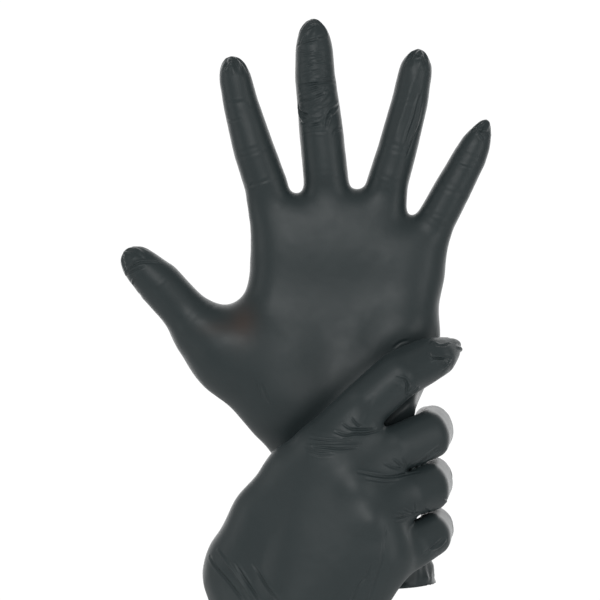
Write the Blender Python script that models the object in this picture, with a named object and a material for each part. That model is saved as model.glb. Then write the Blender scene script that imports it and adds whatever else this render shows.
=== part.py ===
"""A pair of thin disposable gloves, shaped as if worn.

The left glove is open with its palm to the front (-Y). The right glove shows its back and holds the left
one by the wrist. Each glove is one dipped film, divided only where a gloved hand flexes. +Z is up and the
origin is the middle of the mouth of the left glove's cuff.

Every skin is the zero surface of a distance function, the former: round cones for bones and flesh, joined
by a smooth minimum. Lengths in the tables are in millimetres.
"""

import math

import bmesh
import bpy
import numpy as np

MM = 0.001  # tables are in millimetres, meshes in metres
FILM = 0.3  # wall of the film
GAP = 0.5  # clear distance between neighbouring sections, measured at the film's outside
BEAD_RADIUS = 0.85  # rolled edge of the cuff
PALM_STEP = 2.0  # grid of the palm's net
PALM_TRIANGLES = 1800  # the net is thinned to this many
SHORT_EDGE = 1.0  # edges of the thinned net that are shorter than this are closed up
RING_SIDES = 12
BEAD_POINTS = 32
BEAD_SIDES = 5
STUB = 4.0  # finger stubs run this far past the cut before they are opened
STRAIGHT = 0.12  # a joint that bends less than this, in radians, counts as straight
PIVOT_CLEARANCE = 0.2  # a hinge lies this far outside the film
FLESH_BLEND = 12.0  # smooth minimum inside the palm
SKIN_COLOUR = (0.042, 0.058, 0.061, 1.0)


def vec(*values):
    return np.array(values, float)


def unit(v):
    return v / np.linalg.norm(v)


# ---------------------------------------------------------------- the former


def round_cone(p, a, b, radius_a, radius_b):
    """Distance from points p to a round cone from a to b."""
    along = b - a
    t = np.clip((p - a) @ along / (along @ along), 0.0, 1.0)
    foot = a + t[:, None] * along
    return np.linalg.norm(p - foot, axis=1) - (radius_a + (radius_b - radius_a) * t)


def oval_sleeve(p, wrist, mouth, side, half_wrist, half_mouth):
    """Distance, close to the surface, to an open oval sleeve; halves are (width, depth).

    The sleeve runs along the plumb line through the mouth, and it leans and flares as a cubic towards it.
    """
    axis = vec(0, 0, -1)
    deep = np.cross(axis, side)
    t = np.clip((p - wrist) @ axis / ((mouth - wrist) @ axis), -0.2, 1.3)
    flare = np.sign(t) * np.abs(t) ** 3
    half = np.array(half_wrist) + (np.array(half_mouth) - np.array(half_wrist)) * flare[:, None]
    middle = wrist + (mouth - wrist) * flare[:, None]
    q = np.stack([((p - middle) @ side), ((p - middle) @ deep)], axis=1)
    scaled = np.linalg.norm(q / half, axis=1)
    slope = np.linalg.norm(q / half**2, axis=1) + 1e-9
    return scaled * (scaled - 1.0) / slope


def soft_min(a, b, width):
    h = np.maximum(width - np.abs(a - b), 0.0) / width
    return np.minimum(a, b) - h * h * width / 4.0


class Finger:
    """A chain of round cones. The first point is inside the palm, and the film is cut at the others."""

    def __init__(self, name, points, radii, sections, palm_side, slim=1.0):
        self.name = name
        self.palm_side = vec(*palm_side)
        self.points = [vec(*p) for p in points]
        self.radii = radii
        self.sections = sections
        tip, before = self.points[-1], self.points[-2]
        self.end = tip - unit(tip - before) * radii[-1]  # centre of the round end
        bend = np.cross(self.direction(1), self.direction(2)) + vec(0, 1e-6, 0)
        across = unit(bend)
        self.press = np.eye(3) - (1 - slim) * np.outer(across, across)  # flattens the cross-section

    def nodes(self):
        return self.points[:-1] + [self.end]

    def distance(self, p, bones=9):
        """Distance to the first bones of the chain."""
        nodes = [n @ self.press for n in self.nodes()]
        p = p @ self.press
        d = np.full(len(p), 1e9)
        for i in range(min(bones, len(nodes) - 1)):
            d = np.minimum(d, round_cone(p, nodes[i], nodes[i + 1], self.radii[i], self.radii[i + 1]))
        return d

    def direction(self, i):
        nodes = self.nodes()
        return unit(nodes[i + 1] - nodes[i])

    def mitre(self, i):
        """Normal of the cut at point i, which halves the bend there."""
        return unit(self.direction(i - 1) + self.direction(i))


class Glove:
    def __init__(self, name, curled, flesh, sleeve, fingers, root, web):
        self.name = name
        self.curled = curled
        self.flesh = flesh
        self.sleeve = sleeve
        self.fingers = fingers
        self.root = root  # smooth minimum between a finger and the palm
        self.web = web  # smooth minimum between neighbouring fingers

    def palm_distance(self, p):
        wrist, mouth, side, half_wrist, half_mouth = self.sleeve
        d = oval_sleeve(p, wrist, mouth, side, half_wrist, half_mouth)
        above = p[:, 2] - wrist[2]
        d = np.maximum(d, above)  # the sleeve is capped at the wrist
        for a, b, radius_a, radius_b in self.flesh:
            d = soft_min(d, round_cone(p, vec(*a), vec(*b), radius_a, radius_b), FLESH_BLEND)
        return d

    def finger_distance(self, finger, p):
        return soft_min(self.palm_distance(p), finger.distance(p), self.root)

    def stub_distance(self, p):
        """Distance to the palm with a short stub of each finger."""
        palm = self.palm_distance(p)
        d = palm
        for finger in self.fingers:
            past = (p - finger.points[1]) @ finger.mitre(1) - STUB
            stub = np.maximum(finger.distance(p, bones=2), past)
            reach = soft_min(palm, stub, self.root)
            d = soft_min(d, reach, self.web)
        return d


LEFT = Glove(
    "left",
    curled=False,
    flesh=[
        ((-39.5, 1, 150.5), (-24, 1, 78), 10.0, 16.0),
        ((-16, 2, 153.5), (-14, 2, 78), 11.5, 15.0),
        ((6.6, 2, 150.5), (-3, 2, 78), 11.0, 15.0),
        ((24, 0, 143), (16, -3, 113), 9.6, 13.8),
        ((16, -3, 113), (6, -3, 88), 13.8, 15.0),
        ((-40, -5, 84), (-63.5, -6, 107), 15.5, 12.5),
        ((-63.5, -6, 107), (-76, -5, 117.5), 12.5, 9.5),
        ((-58, -4, 114), (-44, 0, 134), 7.0, 7.0),
        ((-32.5, 0, 160), (-32, 0, 170), 8.0, 8.0),
        ((-3.5, 0, 160), (-3.5, 0, 172), 8.0, 8.0),
        ((18, 0, 150), (21.5, 0, 157), 8.0, 8.0),
        ((6, -3, 88), (-6, 0, 52), 15.0, 14.5),
        ((-24, 0, 78), (-16, 0, 52), 15.5, 14.5),
    ],
    sleeve=(vec(-7.5, 0, 60), vec(0, 0, 0), vec(1, 0, 0), (29.3, 19.5), (32, 23)),
    fingers=[
        Finger(
            "index",
            [(-40.6, 0, 150.5), (-46, -1, 186), (-51.7, -2, 202.4), (-58, -3, 224.5), (-62.8, -5, 246.7)],
            [10.8, 10.2, 9.8, 8.4, 7.6],
            ("proximal", "middle", "tip"),
            palm_side=(0, -1, 0),
        ),
        Finger(
            "middle",
            [(-16, 1, 153.5), (-18, -1, 190), (-20.3, -2, 212.8), (-23.1, -4, 237.3), (-24.1, -6, 264.4)],
            [11.5, 10.6, 10.4, 9.5, 8.6],
            ("proximal", "middle", "tip"),
            palm_side=(0, -1, 0),
        ),
        Finger(
            "ring",
            [(6.6, 1, 150.5), (11, -1, 187.5), (15.6, -2, 203.3), (21.5, -3, 226), (25.9, -5, 250)],
            [11.5, 9.8, 9.3, 8.6, 7.8],
            ("proximal", "middle", "tip"),
            palm_side=(0, -1, 0),
        ),
        Finger(
            "little",
            [(24, 0, 143), (33.5, -1, 169.5), (41.5, -2, 184.5), (49.5, -3, 199.5), (57.2, -5, 215.8)],
            [10.5, 9.3, 8.8, 8.0, 6.4],
            ("proximal", "middle", "tip"),
            palm_side=(0, -1, 0),
        ),
        Finger(
            "thumb",
            [(-63.5, -6, 107), (-79, -5, 121.5), (-96, -7, 140.2), (-112, -9, 155.6)],
            [13.5, 10.9, 10.7, 8.6],
            ("proximal", "tip"),
            palm_side=(0.45, -0.85, 0.3),
        ),
    ],
    root=8.0,
    web=4.0,
)

RIGHT = Glove(
    "right",
    curled=True,
    flesh=[
        ((-21, -41, 64), (-44, -42, -22), 10.0, 15.0),
        ((-5, -45, 48), (-40, -43, -26), 11.0, 15.0),
        ((3, -48, 33), (-34, -42, -30), 11.0, 15.0),
        ((8.5, -47, 17), (-26, -41, -32), 12.0, 15.0),
        ((-51, -34, -16), (-57.5, -28, 5), 14.0, 13.5),
        ((-57.5, -28, 5), (-53, -17, 25), 13.5, 9.0),
        ((-49, -31, 20), (-34.5, -33, 52), 8.0, 7.0),
        ((-34.5, -33, 52), (-20, -40.5, 66), 7.0, 8.0),
    ],
    sleeve=(vec(-42, -40, -36), vec(-48, -40, -102), vec(1, 0, 0), (29, 20), (33, 24)),
    fingers=[
        Finger(
            "index",
            [(-21, -40, 64), (0, -39.5, 85.5), (14.4, -39.5, 98.4), (29.7, -28, 104.9), (42.4, -16, 108.2)],
            [10.5, 9.6, 9.2, 8.0, 6.6],
            ("proximal", "middle", "tip"),
            palm_side=(0.2, 1, 0),
            slim=0.94,
        ),
        Finger(
            "middle",
            [(-5, -44, 48), (13, -37.5, 65), (30, -28, 71), (33.7, -5, 73), (29.5, 16, 73)],
            [10.5, 8.0, 8.3, 7.8, 6.8],
            ("proximal", "middle", "tip"),
            palm_side=(0.2, 1, 0),
            slim=0.84,
        ),
        Finger(
            "ring",
            [(3, -48, 33), (20, -38.5, 44.2), (30, -29, 47), (33.8, -6, 49), (29.8, 15, 49)],
            [10.0, 7.5, 8.2, 7.6, 6.6],
            ("proximal", "middle", "tip"),
            palm_side=(0.2, 1, 0),
            slim=0.84,
        ),
        Finger(
            "little",
            [(8.5, -46, 17), (22.5, -37.5, 21.5), (31, -29, 25.5), (34.3, -9, 27.5), (32.3, 9, 28)],
            [10.0, 8.0, 7.6, 7.0, 6.2],
            ("proximal", "middle", "tip"),
            palm_side=(0.2, 1, 0),
            slim=0.86,
        ),
        Finger(
            "thumb",
            [(-57.5, -28, 5), (-54, -9, 24), (-48.5, 20, 35), (-24, 35, 56)],
            [13.0, 9.5, 8.8, 7.4],
            ("proximal", "tip"),
            palm_side=(0.8, -0.1, 0.6),
        ),
    ],
    root=4.0,
    web=1.0,
)


# ---------------------------------------------------------------- meshes


def slope(distance, p):
    """Unit gradient of a distance function."""
    h = 0.05
    parts = []
    for axis in np.eye(3):
        parts.append(distance(p + axis * h) - distance(p - axis * h))
    g = np.stack(parts, axis=1)
    return g / (np.linalg.norm(g, axis=1)[:, None] + 1e-12)


def settle(distance, p, rounds=4):
    """Moves points onto the zero surface."""
    for _ in range(rounds):
        p = p - slope(distance, p) * distance(p)[:, None]
    return p


def surface_net(distance, low, high, step):
    """Closed quad mesh of a distance function: one vertex in each grid cell that the surface crosses."""
    axes = [np.arange(a, b + step, step) for a, b in zip(low, high)]
    grid = np.stack(np.meshgrid(*axes, indexing="ij"), axis=-1)
    shape = grid.shape[:3]
    value = distance(grid.reshape(-1, 3)).reshape(shape)
    inside = value < 0
    total = np.zeros([n - 1 for n in shape] + [3])
    count = np.zeros([n - 1 for n in shape])
    crossings = []
    for axis in range(3):
        here = [slice(None)] * 3
        there = [slice(None)] * 3
        here[axis] = slice(None, -1)
        there[axis] = slice(1, None)
        cut = inside[tuple(here)] != inside[tuple(there)]
        index = np.argwhere(cut)
        va = value[tuple(here)][cut]
        vb = value[tuple(there)][cut]
        point = grid[tuple(here)][cut].copy()
        point[:, axis] += va / (va - vb) * step
        starts_inside = inside[tuple(here)][cut]
        others = [a for a in range(3) if a != axis]
        corners = []
        for du, dv in ((0, 0), (1, 0), (1, 1), (0, 1)):
            cell = index.copy()
            cell[:, others[0]] -= du
            cell[:, others[1]] -= dv
            corners.append(cell)
            np.add.at(total, tuple(cell.T), point)
            np.add.at(count, tuple(cell.T), 1)
        crossings.append((axis, corners, starts_inside))
    used = count > 0
    number = np.full(used.shape, -1)
    number[used] = np.arange(used.sum())
    verts = total[used] / count[used][:, None]
    faces = []
    for axis, corners, starts_inside in crossings:
        quads = np.stack([number[tuple(c.T)] for c in corners], axis=1)
        turn = starts_inside if axis == 1 else ~starts_inside
        quads[turn] = quads[turn][:, ::-1]
        faces.append(quads)
    return settle(distance, verts), np.concatenate(faces)


def frame_of(normal, guide):
    """Two unit vectors across a normal, the first one nearest to a guide."""
    u = unit(guide - normal * (guide @ normal))
    return u, np.cross(normal, u)


def ring(distance, centre, normal, guide, sides, reach):
    """Points where a plane through the centre meets the surface, found by halving along spokes."""
    u, v = frame_of(normal, guide)
    angle = np.arange(sides) / sides * 2 * math.pi
    spoke = np.cos(angle)[:, None] * u + np.sin(angle)[:, None] * v
    near = np.zeros(sides)
    far = np.full(sides, float(reach))
    for _ in range(24):
        mid = (near + far) / 2
        out = distance(centre + spoke * mid[:, None]) > 0
        far = np.where(out, mid, far)
        near = np.where(out, near, mid)
    return centre + spoke * far[:, None]


def skin_colour():
    material = bpy.data.materials.new("film")
    material.use_nodes = True
    shader = material.node_tree.nodes["Principled BSDF"]
    shader.inputs["Base Color"].default_value = SKIN_COLOUR
    shader.inputs["Roughness"].default_value = 0.5
    shader.inputs["Metallic"].default_value = 0.0
    return material


def add_object(name, verts, faces, material, origin, parent=None):
    """A mesh object whose own origin is at a chosen point; all places are in millimetres."""
    mesh = bpy.data.meshes.new(name)
    mesh.from_pydata([tuple((v - origin) * MM) for v in verts], [], [tuple(int(i) for i in f) for f in faces])
    mesh.materials.append(material)
    mesh.shade_smooth()
    obj = bpy.data.objects.new(name, mesh)
    bpy.context.collection.objects.link(obj)
    obj.location = origin * MM
    if parent is not None:
        obj.parent = parent
        obj.location = (origin - np.array(parent["place"])) * MM
    obj["place"] = [float(x) for x in origin]
    return obj


def add_wall(obj):
    """Turns a single skin into a film, inward."""
    wall = obj.modifiers.new("film", "SOLIDIFY")
    wall.thickness = FILM * MM
    wall.offset = -1.0
    wall.use_even_offset = True
    wall.use_rim = True


def loft(rings, pole=None):
    """Faces between rings of equal length, closed at a pole if there is one."""
    sides = len(rings[0])
    verts = [p for points in rings for p in points]
    faces = []
    for i in range(len(rings) - 1):
        for j in range(sides):
            k = (j + 1) % sides
            faces.append((i * sides + j, i * sides + k, (i + 1) * sides + k, (i + 1) * sides + j))
    if pole is not None:
        last = (len(rings) - 1) * sides
        verts.append(pole)
        for j in range(sides):
            faces.append((last + j, last + (j + 1) % sides, len(verts) - 1))
    return verts, faces


def section_rings(glove, finger, i, guide):
    """Rings of the section that starts at point i of a finger."""
    nodes = finger.nodes()
    a, b = nodes[i], nodes[i + 1]
    last = i + 1 == len(nodes) - 1
    start = finger.mitre(i)
    stop = finger.direction(i) if last else finger.mitre(i + 1)
    shape = lambda p: glove.finger_distance(finger, p)
    reach = 2.2 * finger.radii[i]
    count = max(2, round(np.linalg.norm(b - a) / 9.0))
    rings = []
    for step in range(count + 1):
        t = step / count
        centre = a + (b - a) * t
        normal = unit(start * (1 - t) + stop * t)
        if step == 0:
            centre = centre + normal * GAP / 2
        if step == count and not last:
            centre = centre - normal * GAP / 2
        rings.append(ring(shape, centre, normal, guide, RING_SIDES, reach))
    if not last:
        return rings, None
    radius = finger.radii[-1]
    for angle in (30, 60):
        rise = math.sin(math.radians(angle))
        rings.append(ring(shape, b + stop * radius * rise, stop, guide, RING_SIDES, reach))
    return rings, b + stop * radius


def pivot(glove, finger, i):
    """Hinge place at point i.

    The left glove is straight and only curls, so its hinges lie on the palm side. The right glove is
    curled and only opens, so its hinges lie on the back. Either way the sections swing apart, not together.
    """
    normal = finger.mitre(i)
    inward = finger.direction(i) - finger.direction(i - 1)
    if i == 1 or np.linalg.norm(inward) < STRAIGHT or not glove.curled:
        inward = finger.palm_side - normal * (finger.palm_side @ normal)
    away = -unit(inward) if glove.curled else unit(inward)
    return finger.nodes()[i] + away * (finger.radii[i] + PIVOT_CLEARANCE)


def make_finger(glove, finger, palm, material):
    guide = np.cross(finger.palm_side, vec(0, 0, 1))
    parent = palm
    for i, part in enumerate(finger.sections, start=1):
        rings, pole = section_rings(glove, finger, i, guide)
        verts, faces = loft(rings, pole)
        name = f"{glove.name}_{finger.name}_{part}"
        parent = add_object(name, verts, faces, material, pivot(glove, finger, i), parent)
        add_wall(parent)


def thinned(obj, triangles):
    """The object's mesh with fewer triangles, smaller where it curves."""
    thin = obj.modifiers.new("thin", "DECIMATE")
    thin.ratio = triangles / (2 * len(obj.data.polygons))
    shape = obj.evaluated_get(bpy.context.evaluated_depsgraph_get())
    mesh = bpy.data.meshes.new_from_object(shape)
    obj.modifiers.remove(thin)
    return mesh


def cut_open(mesh, place, normal):
    """Cuts off the stub that a plane crosses nearest to a place, and leaves a hole there."""
    place = place * MM
    height = {v: (np.array(v.co) - place) @ normal for v in mesh.verts}
    crossed = [f for f in mesh.faces if min(height[v] for v in f.verts) < 0 < max(height[v] for v in f.verts)]
    first = min(crossed, key=lambda f: np.linalg.norm(np.array(f.calc_center_median()) - place))
    ring_faces = spread([first], lambda e: height[e.verts[0]] * height[e.verts[1]] < 0)
    edges = {e for f in ring_faces for e in f.edges}
    verts = {v for f in ring_faces for v in f.verts}
    cut = bmesh.ops.bisect_plane(
        mesh, geom=list(ring_faces) + list(edges) + list(verts), plane_co=place, plane_no=normal, dist=1e-7
    )
    rim = {e for e in cut["geom_cut"] if isinstance(e, bmesh.types.BMEdge)}
    touching = {f for e in rim for f in e.link_faces}
    beyond = [f for f in touching if (np.array(f.calc_center_median()) - place) @ normal > 0.001 * MM]
    bmesh.ops.delete(mesh, geom=list(spread(beyond, lambda e: e not in rim)), context="FACES")


def spread(faces, may_pass):
    """The faces that can be reached from some faces through edges that may be passed."""
    found = set(faces)
    fresh = list(faces)
    while fresh:
        for edge in fresh.pop().edges:
            if not may_pass(edge):
                continue
            for face in edge.link_faces:
                if face not in found:
                    found.add(face)
                    fresh.append(face)
    return found


def flatten_rim(mesh, place, normal, radius):
    """Puts the edge of an opening back on its plane."""
    for vert in mesh.verts:
        away = np.array(vert.co) - place * MM
        if vert.is_boundary and np.linalg.norm(away) < radius * MM:
            vert.co = np.array(vert.co) - normal * (away @ normal)


def make_palm(glove, material):
    wrist, mouth, _, _, half = glove.sleeve
    down = unit(mouth - wrist)
    points = [np.array(p) for cone in glove.flesh for p in cone[:2]] + [mouth + down * 12]
    points += [f.points[2] for f in glove.fingers]
    margin = max(half)
    low = np.min(points, axis=0) - margin
    high = np.max(points, axis=0) + margin
    capped = lambda p: np.maximum(glove.stub_distance(p), (p - mouth) @ down - 8)
    verts, faces = surface_net(capped, low, high, PALM_STEP)
    obj = add_object(f"{glove.name}_palm", verts, faces, material, vec(0, 0, 0))
    cuts = [(mouth - down * (BEAD_RADIUS + GAP), down, 3 * max(half))]
    for finger in glove.fingers:
        normal = finger.mitre(1)
        cuts.append((finger.points[1] - normal * GAP / 2, normal, 1.5 * finger.radii[1]))
    skin = bmesh.new()
    skin.from_mesh(obj.data)
    for place, normal, _ in cuts:
        cut_open(skin, place, normal)
    skin.to_mesh(obj.data)
    obj.data = thinned(obj, PALM_TRIANGLES)
    skin.clear()
    skin.from_mesh(obj.data)
    bmesh.ops.remove_doubles(skin, verts=skin.verts, dist=SHORT_EDGE * MM)
    for place, normal, radius in cuts:
        flatten_rim(skin, place, normal, radius)
    skin.to_mesh(obj.data)
    skin.free()
    obj.data.shade_smooth()
    add_wall(obj)
    return obj


def make_bead(glove, palm, material):
    """The rolled edge: a round tube that follows the mouth of the cuff."""
    wrist, mouth, side, _, half = glove.sleeve
    down = unit(mouth - wrist)
    path = ring(glove.palm_distance, mouth, down, side, BEAD_POINTS, 2 * max(half))
    rings = []
    for i, centre in enumerate(path):
        ahead = unit(path[(i + 1) % len(path)] - path[i - 1])
        out = np.cross(ahead, down)
        points = []
        for j in range(BEAD_SIDES):
            angle = j / BEAD_SIDES * 2 * math.pi
            points.append(centre + (out * math.cos(angle) - down * math.sin(angle)) * BEAD_RADIUS)
        rings.append(points)
    verts, faces = loft(rings + rings[:1])
    total = len(rings) * BEAD_SIDES
    faces = [tuple(i % total for i in f) for f in faces]
    obj = add_object(f"{glove.name}_cuff_bead", verts[:total], faces, material, vec(0, 0, 0), palm)
    return obj


def main():
    for old in list(bpy.data.objects):
        bpy.data.objects.remove(old, do_unlink=True)
    material = skin_colour()
    for glove in (LEFT, RIGHT):
        palm = make_palm(glove, material)
        make_bead(glove, palm, material)
        for finger in glove.fingers:
            make_finger(glove, finger, palm, material)


main()
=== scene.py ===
"""Looks of a pair of thin disposable gloves, shaped as if worn.

Each glove's skin is the zero surface of the same former as its CAD solids, with a little more flesh where
neighbouring parts touch. It is meshed finely, creased and wrinkled, given the thickness of a film, and
divided in the middle of each finger bone, where nothing bends.
Lengths in the tables are in millimetres, in the frame's axes.
"""

import math

import bpy
import numpy as np
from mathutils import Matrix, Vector
from mathutils.kdtree import KDTree


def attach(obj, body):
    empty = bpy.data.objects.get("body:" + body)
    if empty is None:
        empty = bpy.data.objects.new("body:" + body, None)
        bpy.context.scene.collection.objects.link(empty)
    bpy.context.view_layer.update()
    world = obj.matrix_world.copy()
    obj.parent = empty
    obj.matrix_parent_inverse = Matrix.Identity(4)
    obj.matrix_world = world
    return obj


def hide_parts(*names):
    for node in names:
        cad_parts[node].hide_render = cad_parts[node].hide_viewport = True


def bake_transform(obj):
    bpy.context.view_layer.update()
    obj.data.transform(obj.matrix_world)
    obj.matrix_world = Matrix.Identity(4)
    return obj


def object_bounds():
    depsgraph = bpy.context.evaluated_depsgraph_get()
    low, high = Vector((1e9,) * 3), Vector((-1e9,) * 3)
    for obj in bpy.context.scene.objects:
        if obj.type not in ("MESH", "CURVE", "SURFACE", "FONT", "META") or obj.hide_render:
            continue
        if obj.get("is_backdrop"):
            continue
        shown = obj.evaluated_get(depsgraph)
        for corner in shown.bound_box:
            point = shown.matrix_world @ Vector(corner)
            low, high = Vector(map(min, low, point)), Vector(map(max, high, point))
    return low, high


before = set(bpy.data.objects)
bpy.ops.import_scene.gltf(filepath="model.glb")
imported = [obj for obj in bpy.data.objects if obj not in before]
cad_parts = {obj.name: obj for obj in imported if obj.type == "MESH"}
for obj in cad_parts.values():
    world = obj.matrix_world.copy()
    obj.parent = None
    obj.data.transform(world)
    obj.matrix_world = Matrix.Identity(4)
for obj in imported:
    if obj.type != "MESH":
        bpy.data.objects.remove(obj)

cad_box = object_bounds()

MM = 0.001
STEP = 0.95  # grid of the skin's net
BLOCK = 6  # grid cells in one block of the coarse pass
NEAR = 1.3  # blocks nearer to the surface than this, in their own size, are worked out finely
FILM = 0.14  # thickness of the film
BEAD_RADIUS = 1.1  # rolled edge of the cuff
BEAD_POINTS = 220
BEAD_SIDES = 14
FLESH_BLEND = 12.0  # soft minimum between the palm's cones
DEPTH_BLEND = 8.0  # the same between the two chains of a deepened finger
HALVINGS = 24  # of a spoke, to find where it meets the surface
SLOPE_STEP = 0.05  # distance over which a slope is measured
FAR = 1e9
PALM_REACH = 2.5  # film further than this from a finger belongs to the palm
KNUCKLES = {"left": 118.0, "right": 42.0}  # height where the palm's film is divided, to keep its pieces light
PALM_SMOOTHING = {"left": 9.0, "right": 8.5}  # in depth only, so the outline stays
SKIN_SMOOTHING = 1.6
FOLD_HEIGHT = {"left": 1.0, "right": 1.2}  # factors on the tables of folds
FOLD_WIDTH = 0.62
UNEVENNESS = ((0.1, 13.0), (0.05, 5.0), (0.02, 2.2))  # height and size of a film's slow waves and dents
PUCKERS = 7  # folds at each fingertip
CREASE_ANGLE = 62  # degrees that a joint's longest crease goes round to each side
FOLD_REACH = 3.0  # how many widths around a fold the net is made finer
FINE_REACH = 1.9  # the same where it is made finer once more
SECTIONS = {5: ("proximal", "middle", "tip"), 4: ("proximal", "tip")}  # by the number of points of a finger

# Each fingertip's taper: how far it is drawn in, over what length, and its lean to a side.
TAPER = {
    "left": [(0.2, 12.0), (0.24, 16.0), (0.2, 12.0), (0.3, 12.0), (0.12, 12.0)],
    "right": [(0.35, 12.0, (0, 0, 1.6)), (0.1, 8.0), (0.1, 8.0), (0.1, 8.0), (0.1, 8.0)],
}

# Where the film is stretched thin: places (x, z), half width, half height and strength.
THIN_PLACES = [(-56.5, 122.0, 6.0, 8.0, 0.75), (-68.0, 119.5, 8.0, 3.5, 0.35)]

# Colours of the film: its lighter and darker clouds, and where it is stretched thin over skin.
FILM_COLOURS = ((0.035, 0.049, 0.0515, 1), (0.025, 0.037, 0.0395, 1))
EDGE_COLOURS = ((0.033, 0.046, 0.0485, 1), (0.023, 0.034, 0.0365, 1))
STRETCHED = (0.07, 0.05, 0.042, 1)

CAMERA = (-0.0302, -1.0, 0.1325)
LENS = 127.2
LIT = (-0.02, 0, 0.12)  # what the lights point at
LIGHTS = {  # place, size and power
    "key": ((-0.15, -1.2, 0.65), (0.7, 0.5), 3.9),
    "left": ((-1.1, -0.3, 0.3), (0.5, 0.9), 1.2),
    "right": ((0.95, -0.85, 0.2), (0.35, 0.9), 2.0),
}
BACKDROP = 1.05  # strength of the white that the camera sees
FLOOR_RADIUS = 0.6
FLOOR_SIDES = 64
FLOOR_GAP = 0.004  # the part floats this far above the floor


def vec(*values):
    return np.array(values, float)


def unit(v):
    return v / np.linalg.norm(v)


# ---- the former


def round_cone(p, a, b, radius_a, radius_b):
    """Distance from points p to a round cone from a to b."""
    along = b - a
    t = np.clip((p - a) @ along / (along @ along), 0.0, 1.0)
    foot = a + t[:, None] * along
    return np.linalg.norm(p - foot, axis=1) - (radius_a + (radius_b - radius_a) * t)


def oval_sleeve(p, wrist, mouth, side, half_wrist, half_mouth):
    """Distance, close to the surface, to an open oval sleeve; halves are (width, depth).

    The sleeve runs along the plumb line through the mouth, and it leans and flares as a cubic towards it.
    """
    axis = vec(0, 0, -1)
    deep = np.cross(axis, side)
    t = np.clip((p - wrist) @ axis / ((mouth - wrist) @ axis), -0.2, 1.3)
    flare = np.sign(t) * np.abs(t) ** 3
    half = np.array(half_wrist) + (np.array(half_mouth) - np.array(half_wrist)) * flare[:, None]
    middle = wrist + (mouth - wrist) * flare[:, None]
    q = np.stack([((p - middle) @ side), ((p - middle) @ deep)], axis=1)
    scaled = np.linalg.norm(q / half, axis=1)
    slope = np.linalg.norm(q / half**2, axis=1) + 1e-9
    return scaled * (scaled - 1.0) / slope


def soft_min(a, b, width):
    h = np.maximum(width - np.abs(a - b), 0.0) / width
    return np.minimum(a, b) - h * h * width / 4.0


class Finger:
    """A chain of round cones. The first point is inside the palm, and the film is cut at the others.

    Its cross-section is 1 / slim times as wide across the plane in which it bends. A finger with depths has
    a second chain that far behind its own, so that it rests on what it holds.
    """

    def __init__(self, name, points, radii, palm_side, slim=1.0, depths=None):
        self.name = name
        self.palm_side = vec(*palm_side)
        self.points = [vec(*p) for p in points]
        self.radii = radii
        self.sections = SECTIONS[len(points)]
        tip, before = self.points[-1], self.points[-2]
        self.end = tip - unit(tip - before) * radii[-1]  # centre of the round end
        across = unit(np.cross(self.direction(1), self.direction(2)) + vec(0, 1e-6, 0))
        self.press = np.eye(3) - (1 - slim) * np.outer(across, across)
        self.behind = None
        if depths:
            places = [p + vec(0, depth, 0) for p, depth in zip(self.points, depths)]
            self.behind = Finger(name, places, radii, palm_side, slim)

    def nodes(self):
        return self.points[:-1] + [self.end]

    def distance(self, p):
        """Distance to the chain."""
        nodes = [n @ self.press for n in self.nodes()]
        pressed = p @ self.press
        d = np.full(len(p), FAR)
        for i in range(len(nodes) - 1):
            cone = round_cone(pressed, nodes[i], nodes[i + 1], self.radii[i], self.radii[i + 1])
            d = np.minimum(d, cone)
        return soft_min(d, self.behind.distance(p), DEPTH_BLEND) if self.behind else d

    def direction(self, i):
        nodes = self.nodes()
        return unit(nodes[i + 1] - nodes[i])

    def mitre(self, i):
        """Normal of the cut at point i, which halves the bend there."""
        return unit(self.direction(i - 1) + self.direction(i))


class Glove:
    def __init__(self, name, flesh, sleeve, fingers, root, web):
        self.name = name
        self.flesh = flesh  # round cones: two ends and their radii
        self.sleeve = sleeve  # wrist, mouth, side, half sizes at the wrist and at the mouth
        self.fingers = fingers
        self.root = root  # smooth minimum between a finger and the palm
        self.web = web  # smooth minimum between neighbouring fingers

    def palm_distance(self, p):
        """Distance to the palm and its sleeve, without the fingers."""
        wrist, mouth, side, half_wrist, half_mouth = self.sleeve
        d = oval_sleeve(p, wrist, mouth, side, half_wrist, half_mouth)
        d = np.maximum(d, p[:, 2] - wrist[2])  # the sleeve is capped at the wrist
        for a, b, radius_a, radius_b in self.flesh:
            d = soft_min(d, round_cone(p, vec(*a), vec(*b), radius_a, radius_b), FLESH_BLEND)
        return d

    def distance(self, p):
        """Distance to the whole glove."""
        palm = self.palm_distance(p)
        d = palm
        for finger in self.fingers:
            d = soft_min(d, soft_min(palm, finger.distance(p), self.root), self.web)
        return d


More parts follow.
